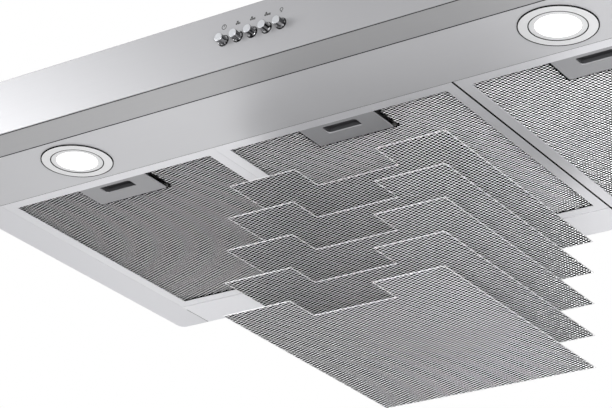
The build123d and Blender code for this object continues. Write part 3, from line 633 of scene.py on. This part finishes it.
# Expanded aluminium mesh: slit and stretched sheet, square cells set at an angle, sloping strands
# with small flat bonds where they cross, and a folded hem. One lies in each cassette with five
# more above it, and five hang below the middle one, cut round the finger pull.
# The hole floors and the cassette meshes' hems are black as painted shade, and the flat backs and packed
# sheets carry the strand pattern with black holes of painted shade.
CASSETTE_CELL = ((0.003533, -0.001286), (0.001286, 0.003533))
LOOSE_CELL = ((0.003717, -0.001728), (0.001057, 0.003773))
CELL_HALF = 0.5
SPARE_CELLS = 2
BOND_SIDES = 4
BOND_REACH = 0.14
STRAND_SHARE = 0.035
STRAND_BLUR = 0.04
MESH_DEPTH = 0.0003
HOLE_SHADE_SLOT = 1
BACK_SLOT = 2
SHEET_THICKNESS = 0.0005
HEM_WIDTH = 0.0006
HEM_STEP = Vector((HEM_WIDTH, HEM_WIDTH, 0))
NOTCH_HALF = 0.0457
CASSETTE_NOTCH = 0.0546
LOOSE_NOTCH = 0.041
PACK_LAYERS = 5
LOOSE_LAYERS = 5
STRAND_TONES = ((0.90, 0.90, 0.91), (0.96, 0.96, 0.97))
HEM_TONES = ((0.74, 0.74, 0.75), (0.84, 0.84, 0.85))
STRAND_AND_HOLE_SHADE_TONES = ((0.012, 0.012, 0.012), (0.72, 0.72, 0.72))
BACK_STRENGTH = 0.6
BACK_DEPTH = 0.0002
SHEET_GRAIN = (500.0, 500.0, 500.0)

mesh_metal = brushed_metal("mesh_aluminium", SHEET_GRAIN, STRAND_TONES, roughness=0.32, metallic=0.75)
hem_metal = brushed_metal("hem_aluminium", SHEET_GRAIN, HEM_TONES, roughness=0.5, metallic=0.1)


def build_strand_pattern():
    group, given, result = new_group("strand_pattern", [
        ("Turn", "NodeSocketFloat", 0.0), ("Cells per Metre", "NodeSocketFloat", 250.0)], ["Strand"])
    place = add_node(group, "ShaderNodeTexCoord")
    cells = add_node(group, "ShaderNodeVectorRotate", {
        "Vector": place.outputs["Object"], "Angle": given.outputs["Turn"]}, rotation_type="Z_AXIS")
    cells = add_node(group, "ShaderNodeVectorMath", {
        0: cells.outputs[0], "Scale": given.outputs["Cells per Metre"]}, operation="SCALE")
    cells = add_node(group, "ShaderNodeVectorMath", {0: cells.outputs[0]}, operation="FRACTION")
    cells = add_node(group, "ShaderNodeVectorMath", {
        0: cells.outputs[0], 1: (CELL_HALF, CELL_HALF, CELL_HALF)}, operation="SUBTRACT")
    cells = add_node(group, "ShaderNodeVectorMath", {0: cells.outputs[0]}, operation="ABSOLUTE")
    axes = add_node(group, "ShaderNodeSeparateXYZ", {0: cells.outputs[0]})
    reach = add_node(group, "ShaderNodeMath", {
        0: axes.outputs["X"], 1: axes.outputs["Y"]}, operation="MAXIMUM")
    edge = CELL_HALF - STRAND_SHARE
    strand = add_node(group, "ShaderNodeMapRange", {
        "Value": reach.outputs[0], "From Min": edge - STRAND_BLUR, "From Max": edge + STRAND_BLUR})
    group.links.new(strand.outputs[0], result.inputs["Strand"])
    return group


strand_pattern = build_strand_pattern()


def mesh_back(name, cell):
    material, tree = new_material(name)
    # The back is flat: light strands and black holes, the holes' black a painted shade.
    strand = place_group(tree, strand_pattern, {
        "Turn": -math.atan2(cell[0][1], cell[0][0]),
        "Cells per Metre": 1 / Vector(cell[0]).length}).outputs["Strand"]
    surface_shader(tree, {
        "Base Color": mix_colour(tree, strand, *STRAND_AND_HOLE_SHADE_TONES),
        "Metallic": 0.2, "Roughness": 0.5,
        "Normal": add_bump(tree, strand, BACK_STRENGTH, BACK_DEPTH),
    })
    return material


cassette_back = mesh_back("cassette_mesh_back", CASSETTE_CELL)
loose_back = mesh_back("loose_mesh_back", LOOSE_CELL)


def cut(shape, point, normal, clear):
    geometry = shape.verts[:] + shape.edges[:] + shape.faces[:]
    bmesh.ops.bisect_plane(shape, geom=geometry, dist=1e-7, plane_co=point, plane_no=normal,
                           clear_outer=clear)


def four_sides(low, high):
    return (
        (low, Vector((-1, 0, 0))), (low, Vector((0, -1, 0))),
        (high, Vector((1, 0, 0))), (high, Vector((0, 1, 0))))


def slit_and_stretch(shape, low, high, cell):
    pitch = Vector(cell[0]).length
    stretch = Matrix(((cell[0][0], cell[1][0], 0), (cell[0][1], cell[1][1], 0), (0, 0, 1)))
    steps = stretch.inverted() @ (low + high).to_2d().to_3d() / 2
    centre = stretch @ Vector((round(steps.x), round(steps.y), 0))
    count = math.ceil((high - low).to_2d().length / 2 / pitch) + SPARE_CELLS
    bmesh.ops.create_grid(shape, x_segments=2 * count, y_segments=2 * count, size=count)
    bmesh.ops.reverse_faces(shape, faces=shape.faces)
    bmesh.ops.transform(shape, matrix=stretch.to_4x4(), verts=shape.verts)
    bmesh.ops.translate(shape, verts=shape.verts, vec=(centre.x, centre.y, low.z))
    for point, normal in four_sides(low, high):
        beyond = point + SPARE_CELLS * pitch * normal
        far = [f for f in shape.faces if (f.calc_center_median() - beyond).dot(normal) > 0]
        bmesh.ops.delete(shape, geom=far, context="FACES")
    bmesh.ops.bevel(shape, geom=shape.verts[:] + shape.edges[:], offset=BOND_REACH * pitch, segments=1,
                    profile=0.5, affect="VERTICES", material=-1)
    holes = [f for f in shape.faces if len(f.verts) > BOND_SIDES]
    bmesh.ops.inset_individual(shape, faces=holes, thickness=STRAND_SHARE * pitch, depth=-MESH_DEPTH)
    # The hole floors take the black of painted shade.
    for hole in holes:
        hole.material_index = HOLE_SHADE_SLOT


def notched_outline(shape, low, high, notch_back, level):
    middle = (low.x + high.x) / 2
    corners = [
        (low.x, low.y), (middle - NOTCH_HALF, low.y), (middle - NOTCH_HALF, notch_back),
        (middle + NOTCH_HALF, notch_back), (middle + NOTCH_HALF, low.y), (high.x, low.y),
        (high.x, high.y), (low.x, high.y)]
    outline = shape.faces.new([shape.verts.new((x, y, level)) for x, y in corners])
    outline.normal_update()
    return outline


def place_mesh(piece, node, body, *more_materials):
    for material in more_materials:
        piece.data.materials.append(material)
    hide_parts(node)
    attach(piece, body)


def trim_strands(strands, low, high, notch_back):
    middle = (low.x + high.x) / 2
    half = NOTCH_HALF + HEM_WIDTH
    for point, normal in four_sides(low + HEM_STEP, high - HEM_STEP):
        cut(strands, point, normal, True)
    cut(strands, (middle - half, 0, 0), (1, 0, 0), False)
    cut(strands, (middle + half, 0, 0), (1, 0, 0), False)
    cut(strands, (0, notch_back, 0), (0, 1, 0), False)
    centres = [(f, f.calc_center_median()) for f in strands.faces]
    taken = [f for f, centre in centres if abs(centre.x - middle) < half and centre.y < notch_back]
    bmesh.ops.delete(strands, geom=taken, context="FACES")


def close_back(strands, level):
    rim = [e for e in strands.edges if e.is_boundary]
    walls = bmesh.ops.extrude_edge_only(strands, edges=rim)["geom"]
    for corner in walls:
        if isinstance(corner, bmesh.types.BMVert):
            corner.co.z = level
    top_edges = [e for e in walls if isinstance(e, bmesh.types.BMEdge)]
    for face in bmesh.ops.edgeloop_fill(strands, edges=top_edges)["faces"]:
        face.material_index = BACK_SLOT
    bmesh.ops.recalc_face_normals(strands, faces=strands.faces)


def expanded_mesh(name, node, body, cell, notch_depth, hem_material, back_material):
    low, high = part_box(node)
    notch_back = low.y + notch_depth
    strands = bmesh.new()
    slit_and_stretch(strands, low + HEM_STEP, high - HEM_STEP, cell)
    trim_strands(strands, low, high, notch_back + HEM_WIDTH)
    close_back(strands, low.z + SHEET_THICKNESS)
    place_mesh(finish_mesh(name, strands, mesh_metal), node, body, painted_shade_black, back_material)
    hem = bmesh.new()
    outline = notched_outline(hem, low, high, notch_back, low.z)
    bmesh.ops.inset_region(hem, faces=[outline], thickness=HEM_WIDTH, use_boundary=True,
                           use_even_offset=True)
    bmesh.ops.delete(hem, geom=[outline], context="FACES")
    thicken(hem, hem.faces[:], (0, 0, SHEET_THICKNESS))
    bmesh.ops.recalc_face_normals(hem, faces=hem.faces)
    place_mesh(finish_mesh(name + "_hem", hem, hem_material), node, body)


for name in CASSETTES:
    node, body = "filter_mesh_" + name, "cassette_" + name
    # The cassette meshes' hems are black: painted shade of the frame's channel.
    expanded_mesh("mesh_" + name, node, body, CASSETTE_CELL, CASSETTE_NOTCH, painted_shade_black, cassette_back)
    low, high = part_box(node)
    rise = (high.z - low.z - SHEET_THICKNESS) / PACK_LAYERS
    sheets = bmesh.new()
    for i in range(1, PACK_LAYERS + 1):
        sheet = notched_outline(sheets, low, high, low.y + CASSETTE_NOTCH, low.z + rise * i)
        thicken(sheets, [sheet], (0, 0, SHEET_THICKNESS))
    bmesh.ops.recalc_face_normals(sheets, faces=sheets.faces)
    place_mesh(finish_mesh("mesh_pack_" + name, sheets, cassette_back), node, body)
for i in range(1, LOOSE_LAYERS + 1):
    expanded_mesh(f"loose_mesh_{i}", f"mesh_layer_{i}", f"layer_{i}", LOOSE_CELL, LOOSE_NOTCH,
                  hem_metal, loose_back)


# Blower and fixings, out of sight in the chimney: dark plastic scroll halves, a painted motor whose
# steel shaft carries the wheel, and a support frame and wall bracket. The wheel, frame and bracket
# are galvanised sheet, and zinc plated screws hold the pieces together.
HOUSING_TONES = ((0.10, 0.10, 0.105), (0.13, 0.13, 0.135))
MOTOR_TONES = ((0.12, 0.12, 0.125), (0.16, 0.16, 0.165))
ZINC_TONES = ((0.42, 0.43, 0.44), (0.60, 0.61, 0.62))
SCREW_TONES = ((0.55, 0.55, 0.53), (0.66, 0.66, 0.64))
ZINC_SPANGLE = (60.0, 60.0, 60.0)

dress(moulded_plastic("housing_plastic", HOUSING_TONES, roughness=0.55),
      "blower_housing_left", "blower_housing_right")
dress(moulded_plastic("motor_paint", MOTOR_TONES, roughness=0.4), "blower_motor")
dress(brushed_metal("galvanised_sheet", ZINC_SPANGLE, ZINC_TONES),
      "impeller_disc", "impeller_rings", "impeller_blades", "support_frame", "chimney_bracket",
      "motor_shaft")
dress(brushed_metal("zinc_screws", SATIN_GRAIN, SCREW_TONES, roughness=0.3), "fixing_screws")
